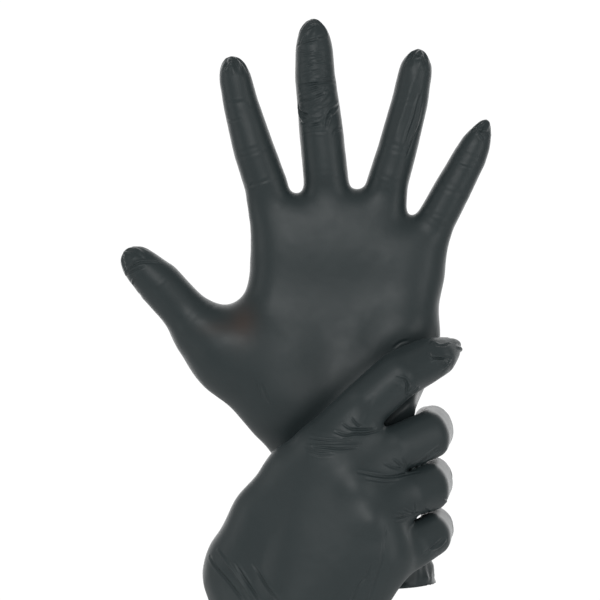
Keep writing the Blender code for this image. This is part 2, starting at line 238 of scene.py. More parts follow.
LEFT = Glove(
    "left",
    flesh=[
        ((-39.5, 1, 150.5), (-24, 1, 78), 10.0, 16.0),
        ((-16, 2, 153.5), (-14, 2, 78), 11.5, 15.0),
        ((6.6, 2, 150.5), (-3, 2, 78), 11.0, 15.0),
        ((24, 0, 143), (16, -3, 113), 9.6, 13.8),
        ((16, -3, 113), (6, -3, 88), 13.8, 15.0),
        ((-40, -5, 84), (-63.5, -6, 107), 15.5, 12.5),
        ((-63.5, -6, 107), (-76, -5, 117.5), 12.5, 9.5),
        ((-58, -4, 114), (-44, 0, 134), 7.0, 7.0),
        ((-32.5, 0, 160), (-32, 0, 170), 8.0, 8.0),
        ((-3.5, 0, 160), (-3.5, 0, 172), 8.0, 8.0),
        ((18, 0, 150), (21.5, 0, 157), 8.0, 8.0),
        ((6, -3, 88), (-6, 0, 52), 15.0, 14.5),
        ((-24, 0, 78), (-16, 0, 52), 15.5, 14.5),
        ((10, -24, 78.5), (16, -22, 81), 5.5, 5.0),  # pressed out between the holding fingers
        ((-50, -4, 112), (-36, -3, 107), 10.5, 12.5),  # heel of the thumb
    ],
    sleeve=(vec(-7.5, 0, 60), vec(0, 0, 0), vec(1, 0, 0), (29.3, 19.5), (30.6, 22.5)),
    fingers=[
        Finger(
            "index",
            [(-40.6, 0, 150.5), (-46, -1, 186), (-51.7, -2, 202.4), (-58, -3, 224.5), (-62.8, -5, 246.7)],
            [10.8, 10.2, 9.8, 8.4, 7.6],
            palm_side=(0, -1, 0),
        ),
        Finger(
            "middle",
            [(-16, 1, 153.5), (-18, -1, 190), (-20.3, -2, 212.8), (-23.1, -4, 237.3), (-24.1, -6, 264.4)],
            [11.5, 10.6, 10.4, 9.5, 8.6],
            palm_side=(0, -1, 0),
        ),
        Finger(
            "ring",
            [(6.6, 1, 150.5), (11, -1, 187.5), (15.6, -2, 203.3), (21.5, -3, 226), (25.9, -5, 250)],
            [11.5, 9.8, 9.3, 8.6, 7.8],
            palm_side=(0, -1, 0),
        ),
        Finger(
            "little",
            [(24, 0, 143), (33.5, -1, 169.5), (41.5, -2, 184.5), (49.5, -3, 199.5), (57.2, -5, 215.8)],
            [10.5, 9.3, 8.8, 8.0, 6.4],
            palm_side=(0, -1, 0),
        ),
        Finger(
            "thumb",
            [(-63.5, -6, 107), (-79, -5, 121.5), (-96, -7, 140.2), (-112, -9, 155.6)],
            [13.5, 10.9, 10.7, 8.6],
            palm_side=(0.45, -0.85, 0.3),
        ),
    ],
    root=11.0,
    web=5.0,
)

RIGHT = Glove(
    "right",
    flesh=[
        ((-21, -41, 64), (-44, -42, -22), 10.0, 15.0),
        ((-5, -45, 48), (-40, -43, -26), 11.0, 15.0),
        ((3, -48, 33), (-34, -42, -30), 11.0, 15.0),
        ((8.5, -47, 17), (-26, -41, -32), 12.0, 15.0),
        ((-51, -34, -16), (-57.5, -28, 5), 14.0, 13.5),
        ((-57.5, -28, 5), (-53, -17, 25), 13.5, 9.0),
        ((-49, -31, 20), (-34.5, -33, 52), 8.0, 7.0),
        ((-34.5, -33, 52), (-20, -40.5, 66), 7.0, 8.0),
        ((-12, -42, 60), (0.5, -40.5, 72.5), 7.0, 6.5),  # web beside the index finger
        ((-22, -29, 59), (-42, -29, 20), 8.0, 11.0),  # the palm's own depth, on the held wrist
        ((-37, -37, 57), (-49.5, -34, 36), 5.0, 7.5),  # web of the thumb
        ((-49.5, -34, 36), (-58.0, -30, 16), 7.5, 11.0),
        ((-51, -34, -16), (-55, -38, -44), 14.0, 16.0),  # wrist below the thumb
    ],
    sleeve=(vec(-42, -40, -36), vec(-48, -40, -102), vec(1, 0, 0), (29, 20), (33, 24)),
    fingers=[
        Finger(
            "index",
            [(-21, -40, 64), (0, -39.5, 85.5), (14.4, -39.5, 98.4), (29.7, -28, 105.7), (42.4, -16, 109.5)],
            [10.5, 9.6, 9.2, 7.2, 5.4],
            palm_side=(0.2, 1, 0),
            slim=0.86,
            depths=(12.0, 12.5, 11.0, 3.0, 0.0),
        ),
        Finger(
            "middle",
            [(-5, -44, 48), (13, -37.5, 65), (30, -28, 71), (33.7, -5, 73), (29.5, 16, 73)],
            [10.5, 8.0, 8.3, 7.8, 6.8],
            palm_side=(0.2, 1, 0),
            slim=0.74,
        ),
        Finger(
            "ring",
            [(3, -48, 33), (20, -38.5, 44.2), (30, -29, 47), (33.8, -6, 49), (29.8, 15, 49)],
            [10.0, 7.5, 8.2, 7.6, 6.6],
            palm_side=(0.2, 1, 0),
            slim=0.74,
        ),
        Finger(
            "little",
            [(8.5, -46, 17), (22.5, -37.5, 21.5), (31, -29, 25.5), (34.3, -9, 27.5), (32.3, 9, 28)],
            [10.0, 8.0, 7.6, 7.0, 6.2],
            palm_side=(0.2, 1, 0),
            slim=0.78,
        ),
        Finger(
            "thumb",
            [(-57.5, -28, 5), (-54, -9, 24), (-48.5, 20, 35), (-24, 35, 56)],
            [13.0, 9.5, 8.8, 7.4],
            palm_side=(0.8, -0.1, 0.6),
            slim=0.86,
        ),
    ],
    root=4.0,
    web=1.0,
)


# ---- meshes


def slope(distance, p):
    """Unit gradient of a distance function."""
    steps = np.eye(3) * SLOPE_STEP
    g = np.stack([distance(p + step) - distance(p - step) for step in steps], axis=1)
    return g / (np.linalg.norm(g, axis=1)[:, None] + 1e-12)


def settle(distance, p, rounds):
    """Moves points onto the zero surface."""
    for _ in range(rounds):
        p = p - slope(distance, p) * distance(p)[:, None]
    return p


def sampled(distance, low, high, step):
    """Grid points and values of a distance function, worked out finely only near its surface."""
    counts = [int(math.ceil((b - a) / step / BLOCK)) for a, b in zip(low, high)]
    axes = [a + np.arange(n * BLOCK) * step for a, n in zip(low, counts)]
    middle = (BLOCK - 1) / 2 * step
    coarse_axes = [a + np.arange(n) * BLOCK * step + middle for a, n in zip(low, counts)]
    coarse = np.stack(np.meshgrid(*coarse_axes, indexing="ij"), axis=-1)
    rough = distance(coarse.reshape(-1, 3)).reshape(coarse.shape[:3])
    value = np.repeat(np.repeat(np.repeat(rough, BLOCK, 0), BLOCK, 1), BLOCK, 2)
    near = np.argwhere(np.abs(rough) < BLOCK * step * NEAR)
    offsets = np.stack(np.meshgrid(*[np.arange(BLOCK)] * 3, indexing="ij"), axis=-1).reshape(-1, 3)
    cells = (near[:, None, :] * BLOCK + offsets).reshape(-1, 3)
    points = np.stack([axes[k][cells[:, k]] for k in range(3)], axis=1)
    value[tuple(cells.T)] = distance(points)
    return axes, value


def crossings(axes, value, axis, step):
    """Where the surface crosses the grid's edges along one axis, with the four cells around each of them."""
    here = [slice(None)] * 3
    there = [slice(None)] * 3
    here[axis] = slice(None, -1)
    there[axis] = slice(1, None)
    starts_inside = value[tuple(here)] < 0
    cut = starts_inside != (value[tuple(there)] < 0)
    index = np.argwhere(cut)
    va = value[tuple(here)][cut]
    vb = value[tuple(there)][cut]
    point = np.stack([axes[k][index[:, k]] for k in range(3)], axis=1)
    point[:, axis] += va / (va - vb) * step
    first, second = [a for a in range(3) if a != axis]
    cells = []
    for back_first, back_second in ((0, 0), (1, 0), (1, 1), (0, 1)):
        cell = index.copy()
        cell[:, first] -= back_first
        cell[:, second] -= back_second
        cells.append(cell)
    return point, cells, starts_inside[cut]


def surface_net(distance, low, high, step):
    """Closed quad mesh of a distance function: one vertex in each grid cell that the surface crosses."""
    axes, value = sampled(distance, low, high, step)
    shape = [n - 1 for n in value.shape]
    total = np.zeros(shape + [3])
    count = np.zeros(shape)
    crossed = [crossings(axes, value, axis, step) for axis in range(3)]
    for point, cells, _ in crossed:
        for cell in cells:
            np.add.at(total, tuple(cell.T), point)
            np.add.at(count, tuple(cell.T), 1)
    used = count > 0
    number = np.full(used.shape, -1)
    number[used] = np.arange(used.sum())
    verts = total[used] / count[used][:, None]
    faces = []
    for axis, (_, cells, starts_inside) in enumerate(crossed):
        quads = np.stack([number[tuple(cell.T)] for cell in cells], axis=1)
        turn = starts_inside if axis == 1 else ~starts_inside
        quads[turn] = quads[turn][:, ::-1]
        faces.append(quads)
    return verts, np.concatenate(faces)


def directed_edges(faces):
    """Every edge of every face, in the face's own direction. A triangle names its last corner twice."""
    pairs = np.concatenate([faces[:, [k, (k + 1) % 4]] for k in range(4)])
    return pairs[pairs[:, 0] != pairs[:, 1]]


def relax(distance, verts, faces, rounds):
    """Evens out the net and keeps it on the surface."""
    edges = np.unique(np.sort(directed_edges(faces), axis=1), axis=0)
    for _ in range(rounds):
        total = np.zeros_like(verts)
        count = np.zeros(len(verts))
        for a, b in ((0, 1), (1, 0)):
            np.add.at(total, edges[:, a], verts[edges[:, b]])
            np.add.at(count, edges[:, a], 1)
        verts = settle(distance, total / count[:, None], 1)
    return settle(distance, verts, 2)


def vertex_normals(verts, faces):
    """Unit normals of the vertices, from the faces around them by area."""
    a, b, c, d = (verts[faces[:, k]] for k in range(4))
    normals = np.cross(c - a, d - b)
    total = np.zeros_like(verts)
    for k in range(4):
        np.add.at(total, faces[:, k], normals)
    return total / (np.linalg.norm(total, axis=1)[:, None] + 1e-12)


def frame_of(normal, guide):
    """Two unit vectors across a normal, the first one nearest to a guide."""
    u = unit(guide - normal * (guide @ normal))
    return u, np.cross(normal, u)


def ring(distance, centre, normal, guide, sides, reach):
    """Points where a plane through the centre meets the surface, found by halving along spokes."""
    u, v = frame_of(normal, guide)
    angle = np.arange(sides) / sides * 2 * math.pi
    spoke = np.cos(angle)[:, None] * u + np.sin(angle)[:, None] * v
    near = np.zeros(sides)
    far = np.full(sides, float(reach))
    for _ in range(HALVINGS):
        mid = (near + far) / 2
        out = distance(centre + spoke * mid[:, None]) > 0
        far = np.where(out, mid, far)
        near = np.where(out, near, mid)
    return centre + spoke * far[:, None]


# ---- wrinkles


def lattice_noise(p, size, seed):
    """Smooth noise between -1 and 1 that changes over about the given size."""
    table = np.random.default_rng(seed).uniform(-1, 1, 4096)
    q = p / size
    cell = np.floor(q).astype(np.int64)
    f = q - cell
    f = f * f * (3 - 2 * f)
    out = np.zeros(len(p))
    for corner in np.ndindex(2, 2, 2):
        key = cell + corner
        code = (key[:, 0] * 73856093) ^ (key[:, 1] * 19349663) ^ (key[:, 2] * 83492791)
        weight = np.ones(len(p))
        for k in range(3):
            weight = weight * (f[:, k] if corner[k] else 1 - f[:, k])
        out += weight * table[code & 4095]
    return out


def smooth_curve(points, per_span=8):
    """Catmull-Rom curve through some points."""
    points = [np.array(p, float) for p in points]
    points = [2 * points[0] - points[1]] + points + [2 * points[-1] - points[-2]]
    out = []
    for i in range(1, len(points) - 2):
        a, b, c, d = points[i - 1 : i + 3]
        bend = 2 * a - 5 * b + 4 * c - d
        twist = 3 * b - a - 3 * c + d
        for t in np.arange(per_span) / per_span:
            out.append(0.5 * (2 * b + (c - a) * t + bend * t * t + twist * t**3))
    out.append(points[-2])
    return np.array(out)


# Height across a fold, at a distance from its middle in widths.
PROFILES = {
    "crease": lambda u: -np.exp(-(u**2)) + 0.38 * np.exp(-((np.abs(u) - 1.9) ** 2)),
    "ridge": lambda u: np.exp(-(u**2)) - 0.25 * np.exp(-((np.abs(u) - 2.0) ** 2)),
    "step": lambda u: u * np.exp(-(u**2) * 0.7) * 1.3,
}


def press_fold(skin, points, height, width, kind="crease", fine=False):
    """Notes one fold along a curve through points near the skin. A fine fold gets the finest net."""
    path = smooth_curve(points)
    nearest = [skin["tree"].find(p)[1] for p in path]
    normals = skin["normals"][nearest]
    above = np.einsum("ij,ij->i", path - skin["verts"][nearest], normals)
    skin["folds"].append((path - above[:, None] * normals, height, width, kind, fine))


def raise_fold(skin, path, height, width, kind):
    """Lifts the skin along one fold, which fades out at both ends."""
    verts, normals, lift = skin["verts"], skin["normals"], skin["lift"]
    reach = 4 * width
    near = np.all((verts > path.min(axis=0) - reach) & (verts < path.max(axis=0) + reach), axis=1)
    index = np.flatnonzero(near)
    p = verts[index]
    best = np.full(len(p), FAR)
    along = np.zeros(len(p))
    side = np.ones(len(p))
    lengths = np.linalg.norm(np.diff(path, axis=0), axis=1) + 1e-6
    total = lengths.sum()
    done = 0.0
    for a, b, length in zip(path[:-1], path[1:], lengths):
        t = np.clip((p - a) @ (b - a) / (length * length), 0, 1)
        away = p - (a + t[:, None] * (b - a))
        d = np.linalg.norm(away, axis=1)
        closer = d < best
        best[closer] = d[closer]
        along[closer] = (done + t * length)[closer] / total
        turn = np.cross(b - a, away)
        side[closer] = np.sign(np.einsum("ij,ij->i", turn, normals[index]))[closer]
        done += length
    fade = np.sin(np.clip(along, 0.02, 0.98) * math.pi) ** 0.5
    lift[index] += height * fade * PROFILES[kind](side * best / width)


def near_folds(skin, reach, only_fine):
    """Which faces lie within a reach, in fold widths, of a fold."""
    centres = skin["verts"][skin["faces"]].mean(axis=1)
    chosen = np.zeros(len(centres), bool)
    for path, _, width, _, fine in skin["folds"]:
        if only_fine and not fine:
            continue
        far = reach * width
        box = np.all((centres > path.min(axis=0) - far) & (centres < path.max(axis=0) + far), axis=1)
        index = np.flatnonzero(box & ~chosen)
        away = np.linalg.norm(centres[index][:, None] - path[None], axis=2).min(axis=1)
        chosen[index[away < far]] = True
    return chosen


def add_middles(skin, groups):
    """Adds a vertex amid each group of vertices, bowed as their normals say. Returns the new numbers."""
    start = len(skin["verts"])
    p = skin["verts"][groups]
    n = skin["normals"][groups]
    middle = p.mean(axis=1)
    height = np.einsum("gkj,gkj->gk", middle[:, None] - p, n)
    bowed = middle - 0.75 * (height[:, :, None] * n).mean(axis=1)
    normal = n.mean(axis=1)
    normal /= np.linalg.norm(normal, axis=1)[:, None] + 1e-12
    skin["verts"] = np.concatenate([skin["verts"], bowed])
    skin["normals"] = np.concatenate([skin["normals"], normal])
    for key in ("flat", "lift"):
        skin[key] = np.concatenate([skin[key], skin[key][groups].mean(axis=1)])
    return np.arange(start, len(skin["verts"]))


def refine(skin, chosen):
    """Splits the chosen faces in four, and divides their neighbours to match, so that no edge is left open.

    A triangle is kept as a quad that names its last corner twice.
    """
    faces = skin["faces"]
    count = len(skin["verts"])
    ahead = np.roll(faces, -1, axis=1)
    real = faces != ahead
    code = np.minimum(faces, ahead) * count + np.maximum(faces, ahead)
    split = np.unique(code[chosen][real[chosen]])
    is_split = np.isin(code, split) & real
    touched = is_split.any(axis=1)
    middles = add_middles(skin, np.stack([split // count, split % count], axis=1))
    centres = add_middles(skin, faces[touched])
    place = np.clip(np.searchsorted(split, code[touched]), 0, len(split) - 1)
    middle = middles[place]
    corner, nxt = faces[touched], ahead[touched]
    parted, whole = is_split[touched], real[touched] & ~is_split[touched]
    four = parted.all(axis=1)
    made = [faces[~touched]]
    for k in range(4):
        before = middle[:, k - 1]
        made.append(np.stack([corner[:, k], middle[:, k], centres, before], axis=1)[four])
        for mask, start, stop in (
            (parted[:, k] & ~four, corner[:, k], middle[:, k]),
            (parted[:, k] & ~four, middle[:, k], nxt[:, k]),
            (whole[:, k], corner[:, k], nxt[:, k]),
        ):
            made.append(np.stack([start, stop, centres, centres], axis=1)[mask])
    skin["faces"] = np.concatenate(made)


def fold_skin(skin):
    """Refines the net where folds are noted, and then lifts them all."""
    refine(skin, near_folds(skin, FOLD_REACH, False))
    refine(skin, near_folds(skin, FINE_REACH, True))
    skin["normals"] = vertex_normals(skin["verts"], skin["faces"])
    for path, height, width, kind, _ in skin["folds"]:
        raise_fold(skin, path, height, width, kind)


def bump(skin, away, height, width):
    """Lifts the skin by a bell-shaped bump, for distances from its middle."""
    skin["lift"] += height * np.exp(-((away / width) ** 2))


def drop_on_front(skin, places):
    """Points of the skin that are seen first along +Y, for places given as (x, z)."""
    out = []
    for x, z in places:
        hits = skin["front"].find_n((x, 0.0, z), 10)
        y = min(skin["verts"][index][1] for _, index, _ in hits)
        out.append((x, y, z))
    return out


def ring_of_folds(skin, finger, i, towards, offsets, rng, height, width):
    """Creases across a finger at its joint i, on the side that faces a direction."""
    axis = finger.mitre(i)
    out = unit(towards - axis * (towards @ axis))
    across = np.cross(axis, out)
    for offset in offsets:
        slant = rng.uniform(-1.6, 1.6)
        turn = math.radians(rng.uniform(-18, 18))
        spread_angle = math.radians(CREASE_ANGLE * rng.uniform(0.65, 1.0))
        points = []
        for k in np.linspace(-1, 1, 5):
            angle = turn + k * spread_angle
            spoke = out * math.cos(angle) + across * math.sin(angle)
            centre = finger.nodes()[i] + axis * (offset + slant * k)
            points.append(centre + spoke * finger.radii[i] * 1.1)
        press_fold(skin, points, height * rng.uniform(0.6, 1.2), width * rng.uniform(0.9, 1.3))


def fine_creases(skin, finger, start, stop, count, rng):
    """Short creases across the front of a finger, between two distances from its tip."""
    along = finger.direction(len(finger.sections))
    tip = finger.points[-1]
    for _ in range(count):
        middle = tip - along * rng.uniform(start, stop)
        lean = math.radians(rng.uniform(-8, 28))
        line = vec(math.cos(lean), 0, math.sin(lean)) * rng.uniform(2.5, 6.5)
        middle = middle + vec(rng.uniform(-4.5, 4.5), 0, 0)
        bow = vec(0, 0, rng.uniform(-0.8, 0.8))
        places = [middle - line, middle + bow, middle + line]
        kind = ("crease", "ridge")[rng.integers(2)]
        places = drop_on_front(skin, [(p[0], p[2]) for p in places])
        press_fold(skin, places, 0.22, 0.5, kind, fine=True)


def pucker_tip(skin, finger, rng, height=0.55, peak=0.0):
    """Small loose folds that run together at a fingertip, and a drawn-out peak if there is one."""
    d = finger.direction(len(finger.sections))
    end, radius = finger.end, finger.radii[-1]
    u, v = frame_of(d, vec(1, 0.2, 0))
    start = rng.uniform(0, 6.28)
    for k in range(PUCKERS):
        angle = start + k * 2 * math.pi / PUCKERS + rng.uniform(-0.35, 0.35)
        bend = rng.uniform(-0.5, 0.5)
        points = []
        for t in (0.12, 0.45, 0.8, 1.1):
            spoke = u * math.cos(angle + bend * t) + v * math.sin(angle + bend * t)
            mix = unit(d * math.cos(t * 1.35) + spoke * math.sin(t * 1.35))
            points.append(end + mix * radius * 1.02)
        kind = ("crease", "ridge", "step")[k % 3]
        press_fold(skin, points, height * rng.uniform(0.6, 1.2), rng.uniform(0.75, 1.1), kind)
    bump(skin, np.linalg.norm(skin["verts"] - end - d * radius, axis=1), peak, 2.4)


def taper_tip(skin, finger, amount, length, lean=(0, 0, 0)):
    """Draws the end of a finger in to a blunt point, which may lean to a side, as a slack fingertip."""
    d = finger.direction(len(finger.sections))
    tip = finger.points[-1]
    verts = skin["verts"]
    back = (tip - verts) @ d
    centre = tip - back[:, None] * d
    away = verts - centre
    near = (finger.distance(verts) < 4) & (back < length)
    t = 1 - np.clip(back / length, 0, 1)
    ease = (t * t * (3 - 2 * t))[:, None]
    verts[near] = (centre + away * (1 - amount * ease) + vec(*lean) * ease)[near]


def average(values, edges, count):
    """Mean over the neighbours of each vertex."""
    a, b = edges.T
    total = np.bincount(a, values[b], len(values)) + np.bincount(b, values[a], len(values))
    return total / count


def smooth_skin(skin, radius, strength, axes=(0, 1, 2)):
    """Evens the skin out over a radius. strength is a number for each vertex, from 0 to 1."""
    rounds = round((radius / STEP) ** 2 / 0.3)
    verts = skin["verts"]
    edges = np.unique(np.sort(directed_edges(skin["faces"]), axis=1), axis=0)
    count = np.maximum(np.bincount(edges.ravel(), minlength=len(verts)), 1)
    for _ in range(rounds):
        for axis in axes:
            verts[:, axis] += (average(verts[:, axis], edges, count) - verts[:, axis]) * strength * 0.6


# ---- the gloves


def owner_of(glove, centres):
    """For each point: 0 for the palm, or 1 + the number of the finger that it belongs to."""
    owner = np.zeros(len(centres), int)
    nearest = np.full(len(centres), PALM_REACH)
    for number, finger in enumerate(glove.fingers, start=1):
        beyond = (centres - finger.points[1]) @ finger.mitre(1) > 0
        d = finger.distance(centres)
        mine = beyond & (d < nearest)
        owner[mine] = number
        nearest[mine] = d[mine]
    return owner


def open_net(glove):
    """The net of a whole glove, open at the cuff."""
    _, mouth, _, _, half = glove.sleeve
    points = [vec(*p) for cone in glove.flesh for p in cone[:2]] + [mouth + vec(0, 0, -12)]
    points += [p for finger in glove.fingers for p in finger.points]
    low = np.min(points, axis=0) - max(half)
    high = np.max(points, axis=0) + max(half)
    floor = mouth[2] - 6
    verts, faces = surface_net(lambda p: np.maximum(glove.distance(p), floor - p[:, 2]), low, high, STEP)
    verts = relax(glove.distance, verts, faces, 2)
    return used_only(verts, faces[verts[faces][:, :, 2].min(axis=1) > mouth[2] - 0.5])


def used_only(verts, faces):
    """Drops the vertices that no face names."""
    used = np.unique(faces)
    number = np.full(len(verts), -1)
    number[used] = np.arange(len(used))
    return verts[used], number[faces]


def build_skin(glove):
    """A glove's shaped skin, with its lift along the normals still to be worked out."""
    verts, faces = open_net(glove)
    skin = {"verts": verts, "faces": faces, "flat": verts.copy(), "folds": []}
    shape_skin(glove, skin)
    skin["normals"] = vertex_normals(skin["verts"], faces)
    skin["lift"] = np.zeros(len(verts))
    skin["tree"] = KDTree(len(verts))  # all vertices
    skin["front"] = KDTree(len(verts))  # those that face the camera, by x and z alone
    for number, (p, n) in enumerate(zip(skin["verts"].tolist(), skin["normals"].tolist())):
        skin["tree"].insert(p, number)
        if n[1] < 0.1:
            skin["front"].insert((p[0], 0.0, p[2]), number)
    skin["tree"].balance()
    skin["front"].balance()
    return skin


def shape_skin(glove, skin):
    """Softens the former into flesh: even palms, round joints and slack fingertips."""
    verts = skin["verts"]
    free = np.where(verts[:, 2] < glove.sleeve[1][2] + 3, 0.0, 1.0)  # the cuff's open edge stays where it is
    palm = (owner_of(glove, verts) == 0) * free
    smooth_skin(skin, PALM_SMOOTHING[glove.name], palm, axes=(1,))
    smooth_skin(skin, SKIN_SMOOTHING, free)
    for finger, taper in zip(glove.fingers, TAPER[glove.name]):
        taper_tip(skin, finger, *taper)


def rest_attributes(mesh, rest):
    """Gives a mesh its places at rest, and how thin its film is stretched, from 0 to 1."""
    place = mesh.attributes.new("rest", "FLOAT_VECTOR", "POINT")
    place.data.foreach_set("vector", np.ascontiguousarray(rest * MM, dtype=np.float32).ravel())
    thin = np.zeros(len(rest))
    for x, z, half_width, half_height, strength in THIN_PLACES:
        away = ((rest[:, 0] - x) / half_width) ** 2 + ((rest[:, 2] - z) / half_height) ** 2
        thin += strength * np.exp(-away) * (rest[:, 1] < 0)
    stretched = mesh.attributes.new("thin", "FLOAT", "POINT")
    stretched.data.foreach_set("value", thin.astype(np.float32))


def stand(name, data, place=(0, 0, 0)):
    """A new object in the collection, at a place in metres."""
    obj = bpy.data.objects.new(name, data)
    bpy.context.collection.objects.link(obj)
    obj.location = place
    return obj


def smooth_object(name, verts, faces):
    """An object with smooth shading, from places in millimetres."""
    mesh = bpy.data.meshes.new(name)
    mesh.from_pydata((verts * MM).tolist(), [], faces)
    mesh.shade_smooth()
    rest_attributes(mesh, verts)
    return stand(name, mesh)


def film_object(name, outer, faces, normals):
    """A closed film: an outer skin, an inner skin and a rim along every open edge."""
    outer_normals, _ = used_only(normals, faces)
    outer, faces = used_only(outer, faces)
    count = len(outer)
    directed = directed_edges(faces)
    codes = directed[:, 0] * count + directed[:, 1]
    back = directed[:, 1] * count + directed[:, 0]
    rim = directed[~np.isin(codes, back)]
    walls = np.stack([rim[:, 1], rim[:, 0], rim[:, 0] + count, rim[:, 1] + count], axis=1)
    quads = faces[faces[:, 2] != faces[:, 3]]
    triangles = faces[faces[:, 2] == faces[:, 3]][:, :3]
    all_faces = np.concatenate([quads, quads[:, ::-1] + count, walls]).tolist()
    all_faces += np.concatenate([triangles, triangles[:, ::-1] + count]).tolist()
    obj = smooth_object(name, np.concatenate([outer, outer - outer_normals * FILM]), all_faces)
    both = np.concatenate([outer_normals, -outer_normals])
    obj.data.normals_split_custom_set_from_vertices(both.tolist())
    return obj


def dress(obj, material):
    obj.data.materials.clear()
    obj.data.materials.append(material)


def make_glove(glove, film, edge):
    skin = build_skin(glove)
    WRINKLES[glove.name](glove, skin)
    fold_skin(skin)
    faces = skin["faces"]
    verts = skin["verts"] + skin["normals"] * skin["lift"][:, None]
    net = {"verts": verts, "faces": faces, "normals": vertex_normals(verts, faces)}
    net["centres"] = skin["flat"][faces].mean(axis=1)
    owner = owner_of(glove, net["centres"])
    make_palm(glove, net, owner == 0, film)
    for number, finger in enumerate(glove.fingers, start=1):
        make_finger(glove, finger, net, owner == number, film)
    make_bead(glove, edge)


def make_film(name, net, part, film):
    """The piece of film that covers some of the net's faces."""
    obj = film_object(name, net["verts"], net["faces"][part], net["normals"])
    dress(obj, film)
    return obj


def make_palm(glove, net, mine, film):
    """The palm and cuff on the glove's own body, in three level pieces."""
    height = net["centres"][:, 2]
    wrist, knuckles = glove.sleeve[0][2], KNUCKLES[glove.name]
    for name, low, high in (("cuff", -FAR, wrist), ("palm", wrist, knuckles), ("knuckle", knuckles, FAR)):
        obj = make_film(f"{glove.name}_{name}_film", net, mine & (height >= low) & (height < high), film)
        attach(obj, f"{glove.name}_glove")
        if name == "palm":
            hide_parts(f"{glove.name}_palm")


def cut_room(finger, bone, joint, net, mine):
    """How far the film at the cut amid a bone stays from a joint's plane."""
    at_cut = mine & (np.abs(past_middle(finger, bone, net)) < STEP)
    away = (net["verts"][net["faces"][at_cut]] - finger.nodes()[joint]) @ finger.mitre(joint)
    return 0.95 * np.abs(away).min()


def past_middle(finger, bone, net):
    """How far each face lies past the middle of a bone."""
    nodes = finger.nodes()
    return (net["centres"] - (nodes[bone] + nodes[bone + 1]) / 2) @ finger.direction(bone)


def make_finger(glove, finger, net, mine, film):
    """One piece for each joint. A piece runs from the middle of one bone to the middle of the next."""
    nodes = finger.nodes()
    bodies = [f"{glove.name}_glove"] + [f"{glove.name}_{finger.name}_{s}" for s in finger.sections]
    last = len(finger.sections)
    rest = mine
    for i in range(1, last + 1):
        part = rest if i == last else rest & (past_middle(finger, i, net) < 0)
        rest = rest & ~part
        obj = make_film(f"{glove.name}_{finger.name}_film_{i}", net, part, film)
        axis = finger.mitre(i)
        ahead = FAR if i == last else cut_room(finger, i, i, net, mine)
        if i == 1:
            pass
        else:
            behind = cut_room(finger, i - 1, i, net, mine)
        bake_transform(obj)
        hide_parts(bodies[i])


def make_bead(glove, material):
    """The rolled edge of the cuff: a round tube along the mouth's own line."""
    _, mouth, side, _, half = glove.sleeve
    down = vec(0, 0, -1)
    path = ring(glove.palm_distance, mouth, down, side, BEAD_POINTS, 2 * max(half))
    verts = []
    for i, centre in enumerate(path):
        ahead = unit(path[(i + 1) % BEAD_POINTS] - path[i - 1])
        out = np.cross(ahead, down)
        for j in range(BEAD_SIDES):
            angle = j / BEAD_SIDES * 2 * math.pi
            verts.append(centre + (out * math.cos(angle) - down * math.sin(angle)) * BEAD_RADIUS)
    faces = []
    for i in range(BEAD_POINTS):
        here = i * BEAD_SIDES
        there = (i + 1) % BEAD_POINTS * BEAD_SIDES
        for j in range(BEAD_SIDES):
            k = (j + 1) % BEAD_SIDES
            faces.append((here + j, here + k, there + k, there + j))
    obj = smooth_object(f"{glove.name}_rolled_edge", np.array(verts), faces)
    dress(obj, material)
    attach(obj, f"{glove.name}_glove")
    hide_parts(f"{glove.name}_cuff_bead")


